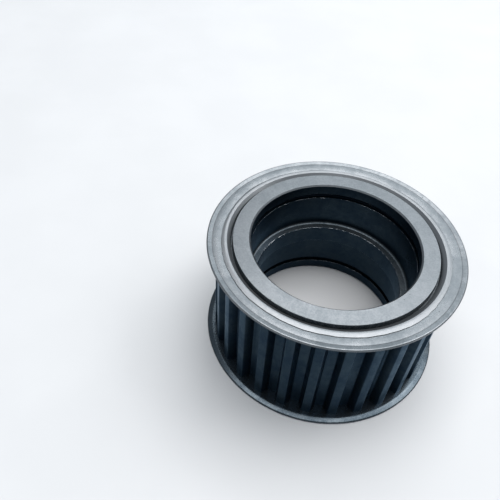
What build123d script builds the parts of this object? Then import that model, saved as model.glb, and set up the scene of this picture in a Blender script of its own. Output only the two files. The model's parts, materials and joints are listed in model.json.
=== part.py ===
from build123d import *
from math import asin, atan2, cos, pi, radians, tan
import os

# Timing belt idler pulley for a 10 mm pitch belt with trapezoidal teeth.
# The pulley's axis is Z. The origin is on the axis, halfway along the teeth.
# All sizes are in millimetres, and angles are in degrees.

# Teeth: the gap between two teeth is a trapezoid that widens outwards.
tooth_count = 28
belt_pitch = 10.0
pitch_line_height = 0.925  # the belt's pitch line runs this far above the tooth tips
gap_opening = 6.57  # width of a gap, straight across, at the tooth tips
gap_depth = 3.4
gap_angle = 50.0  # angle between the two flanks of one gap
tip_fillet = 0.3
root_fillet = 0.6
toothed_width = 46.0

# Flanges: sheet steel rings whose rim is bent away from the belt.
flange_thickness = 1.2
flange_overhang = 3.36  # how far the rim stands above the tooth tips
rim_width = 2.05  # the bent part, measured along the radius
rim_rise = 0.55  # how far the bent part would rise if its edge were left sharp
rim_bend_radius = 1.5  # inside radius of the bend
rim_edge_round = 0.5  # on both edges of the rim
seat_below_root = 0.15  # the flange's seat is turned this much below the tooth roots
seat_land = 0.15  # straight part of the flange's hole, below its 45 degree countersink

# Rolled lip, and the groove that the rolling tool leaves beside it.
lip_wall = 1.2  # wall of the lip at the floor of the groove
lip_lean = 0.6  # how far rolling has moved the top of the lip outwards
lip_crown = 0.08  # the lip's inner edge stands this much above the flange's flat face
lip_sink = 0.15  # the lip's outer edge lies this much below the flange's flat face
roll_groove_floor = 1.4
roll_groove_depth = 3.0
roll_groove_fillet = 0.3

# End faces of the body.
face_above_flange = 0.3
face_edge_break = 0.15
bore_chamfer = 0.6

# Bearing seats, one at each end, for a bearing 62 mm across and 14 mm wide.
bearing_diameter = 62.0
bearing_width = 14.0
bearing_end_play = 0.2
shoulder_height = 3.0  # step, along the radius, from the seat to the rib's bore
shoulder_edge_break = 0.3
seat_fillet = 0.9  # in the corner of the shoulder, smaller than the bearing's chamfer

# Retaining ring groove outside each bearing.
ring_collar = 4.5  # from the end face to the groove
ring_thickness = 2.0
ring_groove_width = 2.15
ring_groove_depth = 1.5

# Overlap that a cutting or joining shape is given so that faces don't just meet.
past = 1.0

# Sizes that follow from the ones above.
tip_radius = tooth_count * belt_pitch / (2 * pi) - pitch_line_height
root_radius = tip_radius - gap_depth
half_width = toothed_width / 2
flange_face = half_width + flange_thickness
countersink = flange_thickness - seat_land
end_face = flange_face + face_above_flange
flange_radius = tip_radius + flange_overhang
flange_seat_radius = root_radius - seat_below_root
lip_top = flange_face + lip_crown
roll_groove_outer = flange_seat_radius - lip_wall
face_radius = roll_groove_outer - roll_groove_floor
bearing_radius = bearing_diameter / 2
rib_radius = bearing_radius - shoulder_height
shoulder_depth = ring_collar + ring_thickness + bearing_width + bearing_end_play


def profile(*points):
    """A closed face from corners given as (distance from the axis, height)."""
    return make_face(Polyline(*points, close=True))


def turned(outline):
    """The solid that an outline sweeps when it turns once about the pulley's axis."""
    return revolve(Plane.XZ * outline, Axis.Z)


def both_ends(upper):
    """A solid at the upper end together with its mirror image at the lower end."""
    return upper + mirror(upper, about=Plane.XY)


def corner(outline, radius, height):
    """The outline's corner nearest to a place given by radius and height."""
    return outline.vertices().sort_by_distance((radius, height, 0))[0]


def tooth_gap():
    """One gap as a flat face: its floor crosses the X axis, and it opens outwards."""
    flank_slope = tan(radians(gap_angle / 2))
    half_opening = gap_opening / 2
    opening = tip_radius * cos(asin(half_opening / tip_radius))
    floor = root_radius
    half_floor = half_opening - (opening - floor) * flank_slope
    outside = opening + past
    half_outside = half_opening + past * flank_slope
    outline = profile(
        (floor, -half_floor),
        (outside, -half_outside),
        (outside, half_outside),
        (floor, half_floor),
    )
    floor_corners = [
        corner(outline, floor, -half_floor),
        corner(outline, floor, half_floor),
    ]
    return fillet(floor_corners, root_fillet)


def toothed_section():
    """The section across the teeth, with every gap cut and every tip rounded."""
    section = Circle(tip_radius) - PolarLocations(0, tooth_count) * tooth_gap()
    tip_corners = [
        place
        for place in section.vertices()
        if abs(Vector(place.X, place.Y, 0).length - tip_radius) < tip_fillet / 10
    ]
    return fillet(tip_corners, tip_fillet)


def end_stub():
    """The end of the body beyond the teeth, still without the rolling groove."""
    outline = profile(
        (0, half_width - past),
        (flange_seat_radius, half_width - past),
        (flange_seat_radius, flange_face - countersink),
        (flange_seat_radius + countersink - lip_sink, flange_face - lip_sink),
        (roll_groove_outer + lip_lean, lip_top),
        (face_radius, lip_top),
        (face_radius, end_face - face_edge_break),
        (face_radius - face_edge_break, end_face),
        (0, end_face),
    )
    return turned(outline)


def roll_groove():
    """The groove beside the lip, wider at its mouth because the lip leans outwards."""
    groove_floor = end_face - roll_groove_depth
    lip_slope = lip_lean / (lip_top - groove_floor)
    mouth = lip_top + past
    outline = profile(
        (face_radius, groove_floor),
        (roll_groove_outer, groove_floor),
        (roll_groove_outer + lip_slope * (mouth - groove_floor), mouth),
        (face_radius, mouth),
    )
    floor_corners = [
        corner(outline, face_radius, groove_floor),
        corner(outline, roll_groove_outer, groove_floor),
    ]
    return turned(fillet(floor_corners, roll_groove_fillet))


def bore():
    """What is bored out of the upper half: the seat, its ring groove and its shoulder."""
    ring_top = end_face - ring_collar
    ring_bottom = ring_top - ring_groove_width
    shoulder = end_face - shoulder_depth
    groove_radius = bearing_radius + ring_groove_depth
    mouth_radius = bearing_radius + bore_chamfer
    outline = profile(
        (0, -past),
        (rib_radius, -past),
        (rib_radius, shoulder - shoulder_edge_break),
        (rib_radius + shoulder_edge_break, shoulder),
        (bearing_radius, shoulder),
        (bearing_radius, ring_bottom),
        (groove_radius, ring_bottom),
        (groove_radius, ring_top),
        (bearing_radius, ring_top),
        (bearing_radius, end_face - bore_chamfer),
        (mouth_radius, end_face),
        (mouth_radius, end_face + past),
        (0, end_face + past),
    )
    return turned(fillet(corner(outline, bearing_radius, shoulder), seat_fillet))


def toothed_body():
    """The steel body: teeth outside, and two bearing seats with a rib between them."""
    blank = extrude(toothed_section(), amount=half_width, both=True)
    blank += both_ends(end_stub())
    blank -= both_ends(bore())
    blank -= both_ends(roll_groove())
    return blank


def flange():
    """The upper flange, locked in its countersink by the body's rolled lip."""
    bend_angle = atan2(rim_rise, rim_width)
    rim_slope = rim_rise / rim_width
    face_bend = flange_radius - rim_width
    belt_bend = face_bend + flange_thickness * tan(bend_angle / 2)
    outline = profile(
        (flange_seat_radius, half_width),
        (belt_bend, half_width),
        (flange_radius, half_width + (flange_radius - belt_bend) * rim_slope),
        (flange_radius, flange_face + rim_rise),
        (face_bend, flange_face),
        (flange_seat_radius + countersink, flange_face),
        (flange_seat_radius, flange_face - countersink),
    )
    outline = fillet(corner(outline, face_bend, flange_face), rim_bend_radius)
    belt_side_radius = rim_bend_radius + flange_thickness
    outline = fillet(corner(outline, belt_bend, half_width), belt_side_radius)
    rim_corners = outline.vertices().sort_by(Axis.X)[-2:]
    return turned(fillet(rim_corners, rim_edge_round))


def write(name, shape):
    """Write one piece to its own file and print what was written."""
    shape.label = name
    export_step(shape, f"parts/{name}.step")
    print(name, "volume", round(shape.volume), "size", shape.bounding_box().size)


os.makedirs("parts", exist_ok=True)
upper_flange = flange()
write("toothed_body", toothed_body())
write("upper_flange", upper_flange)
write("lower_flange", mirror(upper_flange, about=Plane.XY))
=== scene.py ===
# %% [markdown]
# # A flanged timing belt pulley
# This lesson finishes one steel pulley whose working sizes are already settled in CAD.
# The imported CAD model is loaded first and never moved, so every surface made here can
# take its place from it. All lengths are in metres, and +Z is the pulley's own axis.

# %% Load the fixed frame
import json
from math import cos, pi, radians, sin, tan

import bpy
import numpy as np
from mathutils import Euler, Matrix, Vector


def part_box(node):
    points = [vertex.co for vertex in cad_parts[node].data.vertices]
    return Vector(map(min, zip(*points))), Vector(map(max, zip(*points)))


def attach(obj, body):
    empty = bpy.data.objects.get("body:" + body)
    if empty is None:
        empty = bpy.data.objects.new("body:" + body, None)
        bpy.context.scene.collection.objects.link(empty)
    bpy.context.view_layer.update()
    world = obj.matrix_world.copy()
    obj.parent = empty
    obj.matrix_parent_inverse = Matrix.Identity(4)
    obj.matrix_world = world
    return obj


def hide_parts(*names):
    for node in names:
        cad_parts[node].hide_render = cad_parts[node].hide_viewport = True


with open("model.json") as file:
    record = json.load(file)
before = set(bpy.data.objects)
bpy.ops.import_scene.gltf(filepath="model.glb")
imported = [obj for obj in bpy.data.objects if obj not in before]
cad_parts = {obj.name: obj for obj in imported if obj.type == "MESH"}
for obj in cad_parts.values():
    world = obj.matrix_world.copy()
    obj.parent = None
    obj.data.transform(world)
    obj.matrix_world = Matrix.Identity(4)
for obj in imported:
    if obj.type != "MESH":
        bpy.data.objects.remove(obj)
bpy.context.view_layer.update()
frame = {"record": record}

# %% [markdown]
# ## Sizes
# The frame gives the heights and the largest radius. The rest are the sizes that a
# machinist would read from the drawing: the form of one tooth gap for a 10 mm pitch
# belt, the bearing seat with its retaining ring groove, and the rolled lip.

# %% Sizes read from the frame
MM = 0.001
body_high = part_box("toothed_body")[1]
flange_low, flange_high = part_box("upper_flange")
floor_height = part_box("lower_flange")[0].z

end_face = body_high.z
half_width = flange_low.z
flange_radius = min(flange_high.x, flange_high.y)
seat_mount = next(m for m in frame["record"]["mounts"] if m["name"] == "upper_bearing_seat")
bearing_radius = seat_mount["dims"]["r_mm"] * MM
print("end face", end_face, "flange radius", flange_radius, "bearing radius", bearing_radius)

# %% [markdown]
# The frame can't give everything, because a box says nothing about what is inside it.
# The sizes below are the drawing's own, so a reader can change one of them and see which
# part of the steel follows. They could be read off the CAD mesh instead, but a named
# size says what it is for.

# %% Sizes from the drawing
TOOTH_COUNT = 28
TIP_RADIUS = 43.64 * MM
GAP_DEPTH = 3.4 * MM
GAP_OPENING = 6.57 * MM
FLANK_LEAN = radians(25.0)
TIP_FILLET = 0.3 * MM
ROOT_FILLET = 0.6 * MM

FLANGE_THICKNESS = 1.2 * MM
RIM_WIDTH = 2.05 * MM
RIM_RISE = 0.53 * MM
RIM_EDGE = 0.5 * MM
BEND_RADIUS = 1.5 * MM
SEAT_RADIUS = 40.09 * MM
SEAT_LAND = 0.15 * MM
LIP_RADIUS = 41.45 * MM
LIP_ROOT = 40.55 * MM
LIP_HEIGHT = 0.2 * MM
LIP_CROWN = 0.1 * MM
GROOVE_OUTER = 38.89 * MM
GROOVE_INNER = 37.49 * MM
GROOVE_DEPTH = 3.0 * MM
LIP_FLARE = 0.75 * MM
WALL_LEAN = 0.6 * MM
WALL_DROP = 0.9 * MM
FLOOR_LEAN = 0.5 * MM

COLLAR = 4.5 * MM
RING_GROOVE_WIDTH = 2.15 * MM
RING_GROOVE_DEPTH = 1.5 * MM
SHOULDER_DEPTH = 20.7 * MM
SHOULDER_HEIGHT = 3.0 * MM
SEAT_FILLET = 0.9 * MM
BORE_CHAMFER = 0.6 * MM

flange_face = half_width + FLANGE_THICKNESS
rib_radius = bearing_radius - SHOULDER_HEIGHT
root_radius = TIP_RADIUS - GAP_DEPTH

# %% [markdown]
# ## Turned shapes
# Everything on a lathe is a section carried once round the axis. The section is a path
# in the plane of radius and height. A real cutter never leaves a perfect corner, so each
# corner of the path is rounded a little: that thin curved band is what catches the light
# and shows where one face ends and the next begins. A bevel modifier could round the
# corners afterwards, but here each corner says its own fillet, as on a drawing.

# %% A path with rounded corners
def rounded_path(corners):
    """Points of a path through corners (radius, height, fillet, steps, zone).

    At a corner with unit directions a and b to its neighbours, the arc's centre lies on
    a + b at fillet / sin(half the angle between them), and the arc starts and ends
    fillet / tan(half that angle) along each side. The second result is 1 inside the arc
    of an outside corner, -1 inside the arc of an inside corner and 0 elsewhere."""
    points, bends, zones = [], [], []
    places = [np.array(corner[:2]) for corner in corners]
    for index, (_, _, fillet, steps, zone) in enumerate(corners):
        here = places[index]
        if index in (0, len(corners) - 1) or fillet == 0:
            points.append(here)
            bends.append(0.0)
            zones.append(zone)
            continue
        before = places[index - 1] - here
        after = places[index + 1] - here
        a = before / np.linalg.norm(before)
        b = after / np.linalg.norm(after)
        half = 0.5 * np.arccos(np.clip(a @ b, -1, 1))
        centre = here + (a + b) / np.linalg.norm(a + b) * fillet / sin(half)
        start = here + a * fillet / tan(half) - centre
        end = here + b * fillet / tan(half) - centre
        sweep = np.arctan2(start[0] * end[1] - start[1] * end[0], start @ end)
        turn = np.linspace(0, sweep, steps + 1)
        arc_r = start[0] * np.cos(turn) - start[1] * np.sin(turn)
        arc_z = start[0] * np.sin(turn) + start[1] * np.cos(turn)
        points.extend(centre + np.stack([arc_r, arc_z], axis=1))
        bends.extend([0.0] + [np.sign(sweep)] * (steps - 1) + [0.0])
        zones.extend([zone] * (steps + 1))
    return np.array(points), np.array(bends), zones


# %% [markdown]
# A grid of points becomes a mesh here. One direction of the grid goes round the axis and
# the other along the closed section, so the surface has no seam and no pole: it is a
# ring like a doughnut, whatever its section looks like. A screw modifier would turn the
# section too, but it can't change the radius on the way round, which teeth need.

# %% A grid that closes both ways
def grid_normals(radius, height, angle):
    """Unit normals of the surface (radius cos angle, radius sin angle, height).

    With dr and dz the step from the row before to the row after, and r' the change of
    radius with angle between the columns on either side, the normal is dz outwards,
    -dr upwards and -dz r' / radius along the turn. Such steps lean towards the longer
    neighbour, so a flat face stays flat right up to its rounded corner."""
    dr = np.roll(radius, -1, axis=0) - np.roll(radius, 1, axis=0)
    dz = np.roll(height, -1, axis=0) - np.roll(height, 1, axis=0)
    turn = (np.roll(angle, -1) - np.roll(angle, 1)) % (2 * pi)
    slope = (np.roll(radius, -1, axis=1) - np.roll(radius, 1, axis=1)) / turn
    round_part = -dz * slope / radius
    normal = np.stack([
        dz * np.cos(angle) - round_part * np.sin(angle),
        dz * np.sin(angle) + round_part * np.cos(angle),
        -dr,
    ], axis=-1).reshape(-1, 3)
    return normal / np.linalg.norm(normal, axis=1, keepdims=True)


def ring_mesh(name, radius, height, angle, face_zones, zone_materials, paint):
    """A closed ring from radius and height on a grid of (section row, column round).

    A point is (radius cos angle, radius sin angle, height). Each face joins a row to the
    next row and a column to the next column, and both wrap round. paint holds one value
    for each grid point under each attribute's name."""
    rows, columns = radius.shape
    points = np.stack([radius * np.cos(angle), radius * np.sin(angle), height], axis=-1)
    index = np.arange(rows * columns).reshape(rows, columns)
    next_column = np.roll(index, -1, axis=1)
    next_row = np.roll(index, -1, axis=0)
    across = np.roll(next_row, -1, axis=1)
    faces = np.stack([index, next_column, across, next_row], axis=-1).reshape(-1, 4)

    mesh = bpy.data.meshes.new(name)
    mesh.from_pydata(points.reshape(-1, 3), [], faces)
    names = list(zone_materials)
    slots = np.array([names.index(zone) for zone in face_zones], dtype=np.int32)
    mesh.polygons.foreach_set("material_index", np.repeat(slots, columns))
    for material in zone_materials.values():
        mesh.materials.append(material)
    for label, values in paint.items():
        layer = mesh.attributes.new(label, "FLOAT", "POINT")
        layer.data.foreach_set("value", values.astype(np.float32).ravel())
    mesh.shade_smooth()
    mesh.update()
    mesh.normals_split_custom_set_from_vertices(grid_normals(radius, height, angle).tolist())

    piece = bpy.data.objects.new(name, mesh)
    bpy.context.scene.collection.objects.link(piece)
    print(name, "faces", len(mesh.polygons))
    return piece


# %% [markdown]
# ## Hand-made irregularity
# The lip that locks each flange is rolled outwards cold, and the metal flows unevenly,
# so its thin outer edge wanders. A sum of a few sine waves round the pulley gives such
# an edge, and whole numbers of waves make it meet itself.

# %% A wandering edge
def wander(angle, seed, lowest, highest, fade):
    """Sum of sines with lowest to highest waves per turn, scaled to run about -1 to 1.

    Wave n has a random phase and the size n ** -fade times a random share."""
    draw = np.random.default_rng(seed)
    waves = np.arange(lowest, highest + 1)
    phases = draw.uniform(0, 2 * pi, waves.size)
    sizes = draw.uniform(0.3, 1.0, waves.size) * waves ** -fade
    total = np.sin(np.multiply.outer(angle, waves) + phases) @ sizes
    return total / (2.2 * np.sqrt(0.5 * np.sum(sizes ** 2)))


def lip_edge(angle, side):
    """How far the lip's edge lies from its mean radius, for side +1 (upper) or -1."""
    once = np.cos(angle + radians(101))
    slow = wander(angle, 11 + side, 3, 14, 0.5)
    quick = wander(angle, 31 + side, 18, 70, 0.3)
    return (0.6 * once + 0.15 * slow + 0.07 * quick) * MM


def mouth_edge(angle, side):
    """The same for the lip's inner edge, at the mouth of the groove."""
    once = np.cos(angle + radians(90))
    slow = wander(angle, 51 + side, 2, 9, 0.5)
    return (0.25 * once + 0.06 * slow) * MM


# %% [markdown]
# ## Shader groups
# Blackened steel is never one colour. Four effects are shared by its finishes, so each is a node
# group that is built once: cloudy tone, turning marks, fine scratches, and wear that bares bright
# steel on outside corners, which also paints shade into inside corners. The groups only put out
# numbers and heights, and each material decides what to do with them.

# %% Helpers for node trees
def group_tree(name, inputs, outputs):
    """An empty shader group whose inputs and outputs are floats, as {name: default}."""
    tree = bpy.data.node_groups.new(name, "ShaderNodeTree")
    for label, default in inputs.items():
        socket = tree.interface.new_socket(label, in_out="INPUT", socket_type="NodeSocketFloat")
        socket.default_value = default
    for label in outputs:
        tree.interface.new_socket(label, in_out="OUTPUT", socket_type="NodeSocketFloat")
    given = tree.nodes.new("NodeGroupInput").outputs
    result = tree.nodes.new("NodeGroupOutput").inputs
    return tree, given, result


def add(tree, kind, inputs=None, **settings):
    """A node with its settings; each input is a number, a colour or another socket."""
    node = tree.nodes.new("ShaderNode" + kind)
    for key, value in settings.items():
        setattr(node, key, value)
    for key, value in (inputs or {}).items():
        if isinstance(value, bpy.types.NodeSocket):
            tree.links.new(value, node.inputs[key])
        else:
            node.inputs[key].default_value = value
    return node


def calc(tree, operation, first, second=0.0, third=0.0, clamp=False):
    """One step of arithmetic on numbers or sockets."""
    node = add(tree, "Math", {0: first, 1: second, 2: third}, operation=operation)
    node.use_clamp = clamp
    return node.outputs[0]


def band(tree, value, low, high, to_low=0.0, to_high=1.0):
    """Value from low..high carried smoothly to to_low..to_high."""
    numbers = {"Value": value, 1: low, 2: high, 3: to_low, 4: to_high}
    return add(tree, "MapRange", numbers, interpolation_type="SMOOTHSTEP").outputs[0]


def place(tree):
    """The point on the piece, in metres."""
    return add(tree, "TexCoord").outputs["Object"]


def noise(tree, point, size, detail=2.0, roughness=0.5):
    """Noise between 0 and 1 whose clouds are about size metres across."""
    numbers = {"Vector": point, "Scale": 1.0 / size, "Detail": detail, "Roughness": roughness}
    return add(tree, "TexNoise", numbers).outputs[0]


# %% [markdown]
# Clouds of tone: the oxide bath blackens steel unevenly, and handling polishes it in
# patches. Big clouds, small clouds and a fine grain are added with set weights.

# %% The tone group
def build_tone():
    """Tone = 0.5 + Clouds x (big clouds - 0.5) + Grain x (fine noise - 0.5)."""
    tree, given, result = group_tree(
        "oxide_tone", {"Clouds": 0.5, "Grain": 0.5}, ["Tone", "Grain"]
    )
    point = place(tree)
    clouds = noise(tree, point, 9 * MM, 3.0, 0.6)
    patches = noise(tree, point, 2.4 * MM, 4.0, 0.65)
    grain = noise(tree, point, 0.55 * MM, 2.0, 0.6)
    share_of_clouds = calc(tree, "MULTIPLY", clouds, 0.55)
    share_of_patches = calc(tree, "MULTIPLY", patches, 0.45)
    big = band(tree, calc(tree, "ADD", share_of_clouds, share_of_patches), 0.36, 0.64)
    fine = band(tree, grain, 0.3, 0.7)
    centred_big = calc(tree, "MULTIPLY", calc(tree, "SUBTRACT", big, 0.5), given["Clouds"])
    centred_fine = calc(tree, "MULTIPLY", calc(tree, "SUBTRACT", fine, 0.5), given["Grain"])
    total = calc(tree, "ADD", calc(tree, "ADD", centred_big, centred_fine), 0.5, clamp=True)
    tree.links.new(total, result["Tone"])
    tree.links.new(fine, result["Grain"])
    return tree


oxide_tone = build_tone()

# %% [markdown]
# Turning marks are a very fine thread that the lathe tool leaves. On an end face they are
# rings about the axis, and on a bore or a rim they are rings along it, so the group
# takes either the radius or the height as the distance across the marks. The feed is
# not perfectly even, so a little noise bends it, and its depth comes and goes.

# %% The turning marks group
def build_turning():
    """Height = (0.35 sin(2 pi turns) + uneven) x strength, with turns = across / Feed.

    Facing is 1 on an end face, where across is the radius, and 0 on a bore or teeth,
    where it is the height."""
    tree, given, result = group_tree(
        "turning_marks", {"Feed": 0.2 * MM, "Facing": 1.0}, ["Height", "Bands"]
    )
    point = place(tree)
    split = add(tree, "SeparateXYZ", {0: point}).outputs
    x_squared = calc(tree, "MULTIPLY", split[0], split[0])
    y_squared = calc(tree, "MULTIPLY", split[1], split[1])
    radius = calc(tree, "SQRT", calc(tree, "ADD", x_squared, y_squared))
    facing = calc(tree, "MULTIPLY", radius, given["Facing"])
    boring = calc(tree, "MULTIPLY", split[2], calc(tree, "SUBTRACT", 1.0, given["Facing"]))
    across = calc(tree, "ADD", facing, boring)
    drift = noise(tree, point, 12 * MM, 2.0)
    bent = calc(tree, "ADD", across, calc(tree, "MULTIPLY", drift, 0.05 * MM))
    turns = calc(tree, "DIVIDE", bent, given["Feed"])
    wave = calc(tree, "SINE", calc(tree, "MULTIPLY", turns, 2 * pi))
    numbers = {"W": turns, "Scale": 0.31, "Detail": 3.0}
    uneven = add(tree, "TexNoise", numbers, noise_dimensions="1D").outputs[0]
    strength = band(tree, noise(tree, point, 6 * MM, 3.0), 0.3, 0.7, 0.3, 1.0)
    thread = calc(tree, "ADD", calc(tree, "MULTIPLY", wave, 0.35), uneven)
    height = calc(tree, "MULTIPLY", thread, strength)
    tree.links.new(height, result["Height"])
    tree.links.new(uneven, result["Bands"])
    return tree


turning_marks = build_turning()

# %% [markdown]
# Scratches: thin lines in a few directions, each broken up by a slow noise so that they
# start and stop. A thin line is where a stretched noise crosses the middle of its range.

# %% The scratch group
def moved(tree, point, shift):
    """The point moved along all three axes, so that a noise looks different."""
    terms = {0: point, 1: (shift, shift, shift)}
    return add(tree, "VectorMath", terms, operation="ADD").outputs[0]


def build_scratches():
    """Lines: a stretched noise within 0.006 of 0.5, kept where a second noise is high.

    Specks: the middles of a few cells of a cell pattern, chosen by their random colour."""
    tree, given, result = group_tree("fine_scratches", {"Amount": 0.5}, ["Lines", "Specks"])
    point = place(tree)
    lines = None
    for turn, stretch, seed in ((0.4, 26.0, 3.1), (1.9, 30.0, 7.7), (2.7, 22.0, 12.9)):
        pose = {"Rotation": (seed, 0.3 * seed, turn), "Scale": (1.0, stretch, 1.0)}
        turned = add(tree, "Mapping", {"Vector": point, **pose})
        streak = noise(tree, turned.outputs[0], 9 * MM, 1.0, 0.4)
        distance = calc(tree, "ABSOLUTE", calc(tree, "SUBTRACT", streak, 0.5))
        line = band(tree, distance, 0.0, 0.006, 1.0, 0.0)
        kept = band(tree, noise(tree, moved(tree, point, seed), 3.5 * MM, 1.0), 0.62, 0.7)
        line = calc(tree, "MULTIPLY", line, kept)
        lines = line if lines is None else calc(tree, "MAXIMUM", lines, line)
    lines = calc(tree, "MULTIPLY", lines, given["Amount"])
    cell_size = 2.2 * MM
    cells = add(tree, "TexVoronoi", {"Vector": point, "Scale": 1.0 / cell_size})
    chosen = add(tree, "SeparateColor", {0: cells.outputs["Color"]}).outputs[0]
    size = band(tree, chosen, 0.88, 1.0, 0.0, 0.1)
    specks = calc(tree, "LESS_THAN", cells.outputs["Distance"], size)
    tree.links.new(lines, result["Lines"])
    tree.links.new(specks, result["Specks"])
    return tree


fine_scratches = build_scratches()

# %% [markdown]
# Edge wear follows the shape itself. Each surface carries a value called edge that is 1 on its
# outside corners and 0 elsewhere, and one called crevice on the inside corners. There the group
# paints shade: a darker colour that stands for the shade in a corner. The shader's pointiness
# could find corners too, but only as finely as the mesh allows. The group roughens edge with
# noise, so bare steel shows in a broken line, and the same noise makes the painted shade uneven.

# %% The wear group, which also paints crevice shade
def build_wear_and_shade():
    """Bare = edge where noise is above 1.02 - Amount; Dark = painted shade, crevice x the same
    noise.
    """
    tree, given, result = group_tree("wear_and_crevice_shade", {"Amount": 0.6}, ["Bare", "Dark"])
    edge = add(tree, "Attribute", attribute_name="edge").outputs["Fac"]
    crevice = add(tree, "Attribute", attribute_name="crevice").outputs["Fac"]
    broken = noise(tree, place(tree), 1.3 * MM, 4.0, 0.65)
    need = calc(tree, "SUBTRACT", 1.02, given["Amount"])
    start = calc(tree, "SUBTRACT", need, 0.12)
    bare = calc(tree, "MULTIPLY", edge, band(tree, broken, start, need))
    # Painted shade: its strength in a crevice, 0.7 to 1 by the noise.
    shade_factor = band(tree, broken, 0.2, 0.7, 0.7, 1.0)
    tree.links.new(bare, result["Bare"])
    tree.links.new(calc(tree, "MULTIPLY", crevice, shade_factor), result["Dark"])
    return tree


wear_and_crevice_shade = build_wear_and_shade()

# %% [markdown]
# ## The finishes
# One function makes every steel here, because they are the same black oxide on
# differently worked surfaces. What changes is how deep and how wide the marks are, how
# rough the surface is, and how much of the black has been rubbed off.

# %% Blackened steel
BARE_STEEL = (0.4, 0.43, 0.46)
# The near-black colour of the painted shade in inside corners.
CREVICE_SHADE = (0.002, 0.003, 0.005)


def mix_colour(tree, share, first, second):
    """Colour going from first to second as share goes from 0 to 1."""
    node = add(tree, "Mix", {"Factor": share}, data_type="RGBA")
    for socket, value in ((node.inputs[6], first), (node.inputs[7], second)):
        if isinstance(value, bpy.types.NodeSocket):
            tree.links.new(value, socket)
        else:
            socket.default_value = (*value, 1.0)
    return node.outputs[2]


def steel(name, dark, light, rough, feed, facing, marks, grain, clouds, wear, scratches,
          metallic=0.9, edge_tint=(1.0, 1.0, 1.0)):
    """A blackened steel: dark to light by tone, with bare steel where it wears and painted shade
    in its crevices.

    rough is the smoothest and the roughest value, and the tone runs between the two.
    Height of the surface = marks x turning + grain x fine noise - scratches - specks.
    edge_tint colours what is reflected at a grazing angle."""
    material = bpy.data.materials.new(name)
    material.use_nodes = True
    tree = material.node_tree
    shader = tree.nodes["Principled BSDF"]

    tone = add(tree, "Group", {"Clouds": clouds, "Grain": grain}, node_tree=oxide_tone).outputs
    turned = add(tree, "Group", {"Feed": feed, "Facing": facing}, node_tree=turning_marks).outputs
    marked = add(tree, "Group", {"Amount": scratches}, node_tree=fine_scratches).outputs
    wear_and_shade = add(tree, "Group", {"Amount": wear}, node_tree=wear_and_crevice_shade).outputs

    scratched = calc(tree, "MULTIPLY", marked["Lines"], 0.15)
    bare_share = calc(tree, "MAXIMUM", wear_and_shade["Bare"], scratched, clamp=True)
    # Bare steel is held back where shade is painted in a crevice.
    unshaded = calc(tree, "SUBTRACT", 1.0, wear_and_shade["Dark"])
    bare_share = calc(tree, "MULTIPLY", bare_share, unshaded)
    colour = mix_colour(tree, tone["Tone"], dark, light)
    speck_share = calc(tree, "MULTIPLY", marked["Specks"], 0.8)
    speck_colour = tuple(0.3 * part for part in dark)
    colour = mix_colour(tree, speck_share, colour, speck_colour)
    # Painted shade: inside corners are darkened halfway towards a near-black colour.
    colour = mix_colour(tree, calc(tree, "MULTIPLY", wear_and_shade["Dark"], 0.5), colour, CREVICE_SHADE)
    colour = mix_colour(tree, bare_share, colour, BARE_STEEL)
    tree.links.new(colour, shader.inputs["Base Color"])
    shader.inputs["Metallic"].default_value = metallic
    shader.inputs["Specular Tint"].default_value = (*edge_tint, 1.0)

    low, high = rough
    roughness = band(tree, tone["Tone"], 0.0, 1.0, high, low)
    roughness = calc(tree, "ADD", roughness, calc(tree, "MULTIPLY", turned["Bands"], 0.05))
    polish = calc(tree, "MULTIPLY", bare_share, 0.1)
    roughness = calc(tree, "SUBTRACT", roughness, polish, clamp=True)
    tree.links.new(roughness, shader.inputs["Roughness"])

    height = calc(tree, "MULTIPLY", turned["Height"], marks)
    height = calc(tree, "ADD", height, calc(tree, "MULTIPLY", tone["Grain"], grain))
    height = calc(tree, "SUBTRACT", height, calc(tree, "MULTIPLY", marked["Lines"], 0.8))
    height = calc(tree, "SUBTRACT", height, calc(tree, "MULTIPLY", marked["Specks"], 1.5))
    bump = add(tree, "Bump", {"Height": height, "Strength": 0.5, "Distance": 0.008 * MM})
    tree.links.new(bump.outputs[0], shader.inputs["Normal"])
    print("finish", name)
    return material


# %% [markdown]
# The finishes differ by tool. The hob leaves coarse feed marks along the teeth, and the bore has
# fine ones. Both are nearly black, and reflect slightly blue at a grazing angle, as thin black
# oxide does. The end faces, the rolled lip and the flanges' outer faces are given paler colours:
# painted light, for the overhead panel that these level faces mirror. The flange's belt side and
# the shoulder's ledge are given darker colours than those faces: painted shade, for the shade
# between the flange and the teeth and deep in the bore. An image could be painted for each, but a
# worked-out finish stays sharp from any distance.

# %% The colours and the finishes
INK = (0.005, 0.015, 0.03)
SLATE = (0.022, 0.036, 0.046)
DIM = (0.035, 0.05, 0.064)
DULL = (0.075, 0.092, 0.106)
GREY = (0.13, 0.148, 0.162)
PALE = (0.195, 0.21, 0.224)
BRIGHT = (0.235, 0.247, 0.26)
BLUE_EDGE = (0.7, 0.85, 1.0)

hobbed_teeth = steel(
    "hobbed_teeth", INK, SLATE, rough=(0.28, 0.4), feed=0.9 * MM, facing=0.0,
    marks=0.6, grain=0.3, clouds=0.8, wear=0.08, scratches=0.2, edge_tint=BLUE_EDGE,
)
# Painted light: GREY to PALE, much paler than black oxide, for the panel that the end face
# mirrors.
faced_end = steel(
    "faced_end", GREY, PALE, rough=(0.3, 0.38), feed=0.16 * MM, facing=1.0,
    marks=0.4, grain=0.5, clouds=0.4, wear=0.1, scratches=0.3,
)
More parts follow.
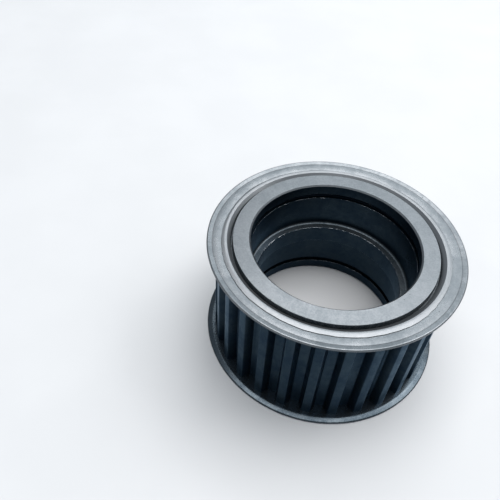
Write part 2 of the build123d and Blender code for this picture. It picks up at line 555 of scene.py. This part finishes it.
# Painted light: PALE to BRIGHT, the palest colours, for the panel that the rolled lip mirrors.
rolled_steel = steel(
    "rolled_steel", PALE, BRIGHT, rough=(0.26, 0.34), feed=0.3 * MM, facing=1.0,
    marks=0.3, grain=0.3, clouds=0.5, wear=0.1, scratches=0.3,
)
groove_wall = steel(
    "groove_wall", SLATE, GREY, rough=(0.4, 0.5), feed=0.25 * MM, facing=0.0,
    marks=0.8, grain=0.8, clouds=0.5, wear=0.1, scratches=0.1, metallic=0.4,
)
bored_wall = steel(
    "bored_wall", INK, SLATE, rough=(0.24, 0.34), feed=0.22 * MM, facing=0.0,
    marks=0.4, grain=0.2, clouds=0.5, wear=0.45, scratches=0.1, edge_tint=BLUE_EDGE,
)
# Painted shade: darker than the sheet's outer face, for the shade between the flange and the
# teeth.
shaded_belt_side = steel(
    "shaded_belt_side", DIM, DULL, rough=(0.18, 0.26), feed=0.4 * MM, facing=1.0,
    marks=0.1, grain=0.4, clouds=0.6, wear=0.1, scratches=0.5,
)
# Painted shade: darker than the end face, for the shade deep in the bore.
shaded_faced_ledge = steel(
    "shaded_faced_ledge", SLATE, GREY, rough=(0.35, 0.45), feed=0.22 * MM, facing=1.0,
    marks=0.4, grain=0.4, clouds=0.4, wear=0.1, scratches=0.1,
)
# Painted light: GREY to PALE, much paler than black oxide, for the panel that the flange mirrors.
sheet_steel = steel(
    "sheet_steel", GREY, PALE, rough=(0.24, 0.34), feed=0.4 * MM, facing=1.0,
    marks=0.1, grain=0.4, clouds=0.8, wear=0.1, scratches=0.5,
)

# %% [markdown]
# ## The toothed body
# The teeth are hobbed, so every gap has the same trapezoid form. Half a pitch is drawn
# once, from the middle of a gap to the middle of a tooth, then mirrored and repeated.
# Its points carry an angle and a radius, and the angles of the whole ring follow from
# them, so the grid is finest exactly where the tooth's outline bends. A boolean cut for
# each gap would give the same form, but not one clean grid.

# %% Half a pitch of the tooth's outline
def half_pitch():
    """Angle, radius, and bend (1 outside, -1 inside corner) from mid gap to mid tooth.

    In the gap's own axes x points outwards. The floor is the line x = root radius, and
    the flank leaves it at the flank's lean from x. Both corners are arcs: the root's is
    tangent to floor and flank, the tip's is tangent to flank and tip circle."""
    half_opening = GAP_OPENING / 2
    rim_x = np.sqrt(TIP_RADIUS ** 2 - half_opening ** 2)
    half_floor = half_opening - (rim_x - root_radius) * tan(FLANK_LEAN)
    along = np.array([cos(FLANK_LEAN), sin(FLANK_LEAN)])
    inward = np.array([-sin(FLANK_LEAN), cos(FLANK_LEAN)])

    root_turn = pi / 2 - FLANK_LEAN
    root_start = half_floor - ROOT_FILLET * tan(root_turn / 2)
    swing = np.linspace(0, root_turn, 4)
    root_arc = np.stack([
        root_radius + ROOT_FILLET * (1 - np.cos(swing)),
        root_start + ROOT_FILLET * np.sin(swing),
    ], axis=1)

    corner = np.array([rim_x, half_opening]) + TIP_FILLET * inward
    reach = corner @ along
    to_circle = reach ** 2 - corner @ corner + (TIP_RADIUS - TIP_FILLET) ** 2
    centre = corner - along * (reach - np.sqrt(to_circle))
    first = np.arctan2(-inward[1], -inward[0])
    last = np.arctan2(centre[1], centre[0])
    swing = np.linspace(first, last, 3)
    tip_arc = centre + TIP_FILLET * np.stack([np.cos(swing), np.sin(swing)], axis=1)

    floor = np.stack([np.full(2, root_radius), np.linspace(0, root_start, 3)[:2]], axis=1)
    flank = (root_arc[-1:] + tip_arc[:1]) / 2
    outline = np.concatenate([floor, root_arc, flank, tip_arc])
    angle = np.arctan2(outline[:, 1], outline[:, 0])
    radius = np.hypot(outline[:, 0], outline[:, 1])
    land = np.linspace(angle[-1], pi / TOOTH_COUNT, 3)[1:]
    bend = np.repeat([0.0, -1.0, 0.0, 1.0, 0.0], [3, 2, 3, 1, 3])
    return np.append(angle, land), np.append(radius, np.full(2, TIP_RADIUS)), bend


def tooth_outline():
    """The whole outline: half a pitch, its mirror image, and that pair repeated."""
    angle, radius, bend = half_pitch()
    pitch = 2 * pi / TOOTH_COUNT
    one_angle = np.concatenate([angle, pitch - angle[-2:0:-1]])
    one_radius = np.concatenate([radius, radius[-2:0:-1]])
    one_bend = np.concatenate([bend, bend[-2:0:-1]])
    starts = np.arange(TOOTH_COUNT) * pitch
    return (
        np.add.outer(starts, one_angle).ravel(),
        np.tile(one_radius, TOOTH_COUNT),
        np.tile(one_bend, TOOTH_COUNT),
    )


tooth_angle, tooth_radius, tooth_bend = tooth_outline()
print("columns round the body", tooth_angle.size)

# %% [markdown]
# Above the teeth the section runs over the lip, down into the rolling groove, across the
# end face, and down the bore past the ring groove and the bearing's shoulder to the
# middle of the rib. The lower end is the same path mirrored, so it is walked backwards.

# %% The section of the upper end
lip_edge_top = flange_face + LIP_HEIGHT
groove_floor = end_face - GROOVE_DEPTH
ring_top = end_face - COLLAR
ring_bottom = ring_top - RING_GROOVE_WIDTH
ring_radius = bearing_radius + RING_GROOVE_DEPTH
shoulder = end_face - SHOULDER_DEPTH
FINE = 0.06 * MM
SOFT = 0.12 * MM
EASED = 0.2 * MM
ROUND = 0.3 * MM
MOUTH_ROUND = 0.15 * MM
CROWN_RADIUS = 2.5 * MM
LIP_GAP = 0.01 * MM
TIP_WIDTH = 0.3 * MM
TIP_GAP = 0.015 * MM
TIP_LOW = 0.07 * MM

upper_corners = [
    (SEAT_RADIUS, half_width, 0, 0, "lip"),
    (SEAT_RADIUS, half_width + SEAT_LAND, 0, 0, "lip"),
    (LIP_ROOT, flange_face + LIP_GAP, 0, 0, "lip"),
    (LIP_RADIUS - TIP_WIDTH, flange_face + TIP_GAP, 0, 0, "lip"),
    (LIP_RADIUS, flange_face + TIP_LOW, FINE / 2, 2, "lip"),
    (LIP_RADIUS, lip_edge_top, TIP_LOW, 3, "lip"),
    (LIP_ROOT, lip_edge_top + LIP_CROWN, CROWN_RADIUS, 4, "lip"),
    (GROOVE_OUTER + LIP_FLARE, lip_edge_top, MOUTH_ROUND, 3, "lip"),
    (GROOVE_OUTER - WALL_LEAN, flange_face - WALL_DROP, ROUND, 3, "groove"),
    (GROOVE_OUTER - FLOOR_LEAN, groove_floor, ROUND, 3, "groove"),
    (GROOVE_INNER, groove_floor, ROUND, 3, "groove"),
    (GROOVE_INNER, end_face, SOFT, 3, "face"),
    (bearing_radius + BORE_CHAMFER, end_face, SOFT, 2, "face"),
    (bearing_radius, end_face - BORE_CHAMFER, SOFT, 2, "bore"),
    (bearing_radius, ring_top, FINE, 3, "bore"),
    (ring_radius, ring_top, EASED, 3, "bore"),
    (ring_radius, ring_bottom, EASED, 3, "bore"),
    (bearing_radius, ring_bottom, FINE, 3, "bore"),
    (bearing_radius, shoulder, SEAT_FILLET, 6, "ledge"),
    (rib_radius, shoulder, SOFT, 3, "bore"),
    (rib_radius, shoulder / 2, 0, 0, "bore"),
]
upper_path, upper_bend, upper_zone = rounded_path(upper_corners)
print("section points at one end", len(upper_path))

# %% [markdown]
# The grid is put together row by row: toothed rows up the outside, the upper end, and
# the lower end on the way back. Only the lip's rows follow its two wandering edges, the
# outer one on the flange and the inner one at the mouth of the groove. A short row just
# inside each end of the teeth keeps their corners crisp.

# %% The body's grid
END_ROW = 0.02 * MM
MOUTH_REACH = 0.7 * MM
MOUTH_DEPTH = 0.3 * MM


def body_piece():
    """Rows up the teeth, over the upper end, and back under the lower end.

    A row's radius is the section's plus the lip's edge times share, which runs from 0 at
    the lip's root to 1 at its tip, plus the mouth's edge times mouth_share, which falls
    from 1 at the mouth to 0 at MOUTH_REACH from it."""
    columns = tooth_angle.size
    inset = half_width - END_ROW
    levels = np.concatenate([[-half_width], np.linspace(-inset, inset, 8), [half_width]])
    tooth_rows = np.tile(tooth_radius, (levels.size, 1))
    tooth_heights = np.tile(levels[:, None], (1, columns))

    def end_rows(side):
        share = np.clip((upper_path[:, 0] - LIP_ROOT) / (LIP_RADIUS - LIP_ROOT), 0, 1)
        from_mouth = np.abs(upper_path[:, 0] - GROOVE_OUTER - LIP_FLARE)
        near_top = upper_path[:, 1] > flange_face - MOUTH_DEPTH
        mouth_share = np.clip(1 - from_mouth / MOUTH_REACH, 0, 1) * near_top
        rows = upper_path[:, :1] + share[:, None] * lip_edge(tooth_angle, side)
        rows = rows + mouth_share[:, None] * mouth_edge(tooth_angle, side)
        heights = np.tile(side * upper_path[:, 1:], (1, columns))
        return rows, heights

    upper_rows, upper_heights = end_rows(1)
    lower_rows, lower_heights = end_rows(-1)
    radius = np.concatenate([tooth_rows, upper_rows, lower_rows[::-1]])
    height = np.concatenate([tooth_heights, upper_heights, lower_heights[::-1]])

    turned_bend = np.concatenate([upper_bend, upper_bend[::-1]])[:, None] * np.ones(columns)
    bend = np.concatenate([np.tile(tooth_bend, (levels.size, 1)), turned_bend])
    # Painted shade goes only into the inside corners of the groove and the lip.
    gets_crevice_shade = np.array([zone in ("groove", "lip") for zone in upper_zone], dtype=float)
    shade_factor = np.concatenate([np.zeros(levels.size), gets_crevice_shade, gets_crevice_shade[::-1]])[:, None]
    paint = {"edge": np.maximum(bend, 0), "crevice": np.maximum(-bend, 0) * shade_factor}

    zones = ["teeth"] * levels.size + upper_zone + upper_zone[-2::-1] + ["lip"]
    finishes = {
        "teeth": hobbed_teeth,
        "lip": rolled_steel,
        "groove": groove_wall,
        "face": faced_end,
        "bore": bored_wall,
        "ledge": shaded_faced_ledge,
    }
    return ring_mesh("steel_body", radius, height, tooth_angle, zones, finishes, paint)


steel_body = body_piece()

# %% [markdown]
# ## The flanges
# Each flange is a punched ring of sheet steel. Its rim is bent away from the belt, so
# the sheet keeps its thickness round the bend and the two faces bend at different radii.
# The hole's edge is hidden under the lip. A solidify modifier could give a bent surface
# its thickness, but the closed section rounds both edges of the rim as well.

# %% One flange
HOLE_GAP = 0.01 * MM
COUNTERSINK_INSET = 0.05 * MM
FLANGE_COLUMNS = 900


def flange_piece(name, side):
    """The sheet's section, from the gap at the lip out to the rim and back underneath."""
    slope = RIM_RISE / RIM_WIDTH
    bend = np.arctan(slope)
    face_bend = flange_radius - RIM_WIDTH
    belt_bend = face_bend + FLANGE_THICKNESS * tan(bend / 2)
    rim_low = half_width + (flange_radius - belt_bend) * slope
    hole = SEAT_RADIUS + HOLE_GAP
    land_top = half_width + SEAT_LAND - HOLE_GAP
    corners = [
        (hole, half_width, 0, 0, "belt side"),
        (belt_bend, half_width, BEND_RADIUS + FLANGE_THICKNESS, 5, "belt side"),
        (flange_radius, rim_low, RIM_EDGE, 5, "belt side"),
        (flange_radius, flange_face + RIM_RISE, RIM_EDGE, 5, "sheet"),
        (face_bend, flange_face, BEND_RADIUS, 5, "sheet"),
        (LIP_ROOT - COUNTERSINK_INSET, flange_face, 0, 0, "sheet"),
        (hole, land_top, 0, 0, "belt side"),
    ]
    path, turned_bend, zones = rounded_path(corners)
    angle = np.arange(FLANGE_COLUMNS) * 2 * pi / FLANGE_COLUMNS
    radius = np.tile(path[:, :1], (1, FLANGE_COLUMNS))
    height = np.tile(side * path[:, 1:], (1, FLANGE_COLUMNS))
    bends = turned_bend[:, None] * np.ones(FLANGE_COLUMNS)
    # crevice marks the sheet's inside corners, where the finish paints shade.
    paint = {"edge": np.maximum(bends, 0), "crevice": np.maximum(-bends, 0)}
    if side < 0:
        radius, height = radius[::-1], height[::-1]
        paint = {label: values[::-1] for label, values in paint.items()}
        zones = zones[-2::-1] + zones[-1:]
    finishes = {"sheet": sheet_steel, "belt side": shaded_belt_side}
    return ring_mesh(name, radius, height, angle, zones, finishes, paint)


upper_ring = flange_piece("upper_flange_ring", 1)
lower_ring = flange_piece("lower_flange_ring", -1)

# %% [markdown]
# ## Riding on the frame
# Nothing on this pulley moves against the rest, so every piece rides on the one body.
# The CAD node that each piece stands in for is hidden.

# %% Tie the pieces to the CAD
for piece, node, slot in (
    (steel_body, "toothed_body", "body_steel"),
    (upper_ring, "upper_flange", "flange_steel"),
    (lower_ring, "lower_flange", "flange_steel"),
):
    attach(piece, "root")
    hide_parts(node)

# %% [markdown]
# ## The table, the light and the camera
# The pulley stands on a pale table with faint clouds of tone in it, wide enough to fill
# the view. Its height is the lower flange's lowest point, read from the frame, so the
# pulley neither floats nor sinks.

# %% Table
TABLE_SIZE = 4.0
TABLE_DARK = (0.58, 0.595, 0.61)
TABLE_LIGHT = (0.6, 0.615, 0.63)
TABLE_CLOUDS = 0.05


def build_table():
    """A flat square at the height of the pulley's underside, with its own finish."""
    edge = np.array([-1.0, 1.0]) * TABLE_SIZE / 2
    x, y = np.meshgrid(edge, edge)
    points = np.stack([x, y, np.full_like(x, floor_height)], axis=-1).reshape(-1, 3)
    mesh = bpy.data.meshes.new("table")
    mesh.from_pydata(points, [], [(0, 1, 3, 2)])
    table = bpy.data.objects.new("table", mesh)
    bpy.context.scene.collection.objects.link(table)
    material = bpy.data.materials.new("pale_table")
    material.use_nodes = True
    tree = material.node_tree
    shader = tree.nodes["Principled BSDF"]
    cloud = band(tree, noise(tree, place(tree), TABLE_CLOUDS, 3.0), 0.3, 0.7)
    colour = mix_colour(tree, cloud, TABLE_DARK, TABLE_LIGHT)
    tree.links.new(colour, shader.inputs["Base Color"])
    shader.inputs["Roughness"].default_value = 0.7
    mesh.materials.append(material)
    print("table at", floor_height)


build_table()

# %% [markdown]
# A black, satin part shows its form by what it reflects. So the main light is one broad
# soft panel almost overhead: the level faces mirror it and turn light grey, and the
# upright walls stay dark. A weak panel behind is low enough to be mirrored in the far
# part of the end face, and one at the side draws the flanks of the teeth. A point light
# would be simpler, but it would leave small hard glints instead of broad soft ones.

# %% Light
def panel(name, azimuth, elevation, distance, width, depth, power, colour):
    """A soft panel facing the pulley, from angles in degrees and a distance in metres.

    Its direction is (cos elevation cos azimuth, cos elevation sin azimuth, sin
    elevation), and azimuth is counted from +X towards +Y."""
    lamp = bpy.data.lights.new(name, "AREA")
    lamp.shape = "RECTANGLE"
    lamp.size = width
    lamp.size_y = depth
    lamp.energy = power
    lamp.color = colour
    holder = bpy.data.objects.new(name, lamp)
    direction = Vector((
        cos(radians(elevation)) * cos(radians(azimuth)),
        cos(radians(elevation)) * sin(radians(azimuth)),
        sin(radians(elevation)),
    ))
    holder.location = direction * distance
    holder.rotation_euler = direction.to_track_quat("Z", "Y").to_euler()
    bpy.context.scene.collection.objects.link(holder)
    print("light", name, "watts", power)


WARM_WHITE = (1.0, 0.98, 0.97)
COOL_WHITE = (0.9, 0.97, 1.0)
ROOM_LIGHT = (0.84, 0.92, 1.0, 1.0)
ROOM_STRENGTH = 0.42

panel("high_panel", azimuth=58, elevation=80, distance=1.6,
      width=1.4, depth=1.8, power=33.0, colour=WARM_WHITE)
panel("back_panel", azimuth=70, elevation=38, distance=1.6,
      width=1.2, depth=0.5, power=3.5, colour=COOL_WHITE)
panel("side_panel", azimuth=18, elevation=48, distance=1.8,
      width=0.9, depth=0.7, power=8.0, colour=WARM_WHITE)

world = bpy.data.worlds.new("studio")
world.use_nodes = True
background = world.node_tree.nodes["Background"]
background.inputs["Color"].default_value = ROOM_LIGHT
background.inputs["Strength"].default_value = ROOM_STRENGTH
bpy.context.scene.world = world
bpy.context.scene.view_settings.view_transform = "Standard"

# %% [markdown]
# The camera looks down into the bore from close by, so the near rim is drawn larger than
# the far one. A longer lens from further away would frame the pulley as well, but it
# would flatten it.

# %% Camera
camera = bpy.data.objects.new("camera", bpy.data.cameras.new("camera"))
camera.data.sensor_width = 36.0
camera.data.lens = 39.05
camera.data.shift_x = 0.0156
camera.data.shift_y = -0.0087
camera.data.clip_start = 0.01
camera.location = (-25.86 * MM, -140.94 * MM, 164.3 * MM)
camera.rotation_euler = Euler((radians(43.79), radians(-2.05), radians(5.43)))
bpy.context.scene.collection.objects.link(camera)
bpy.context.scene.camera = camera
print("camera lens", camera.data.lens)
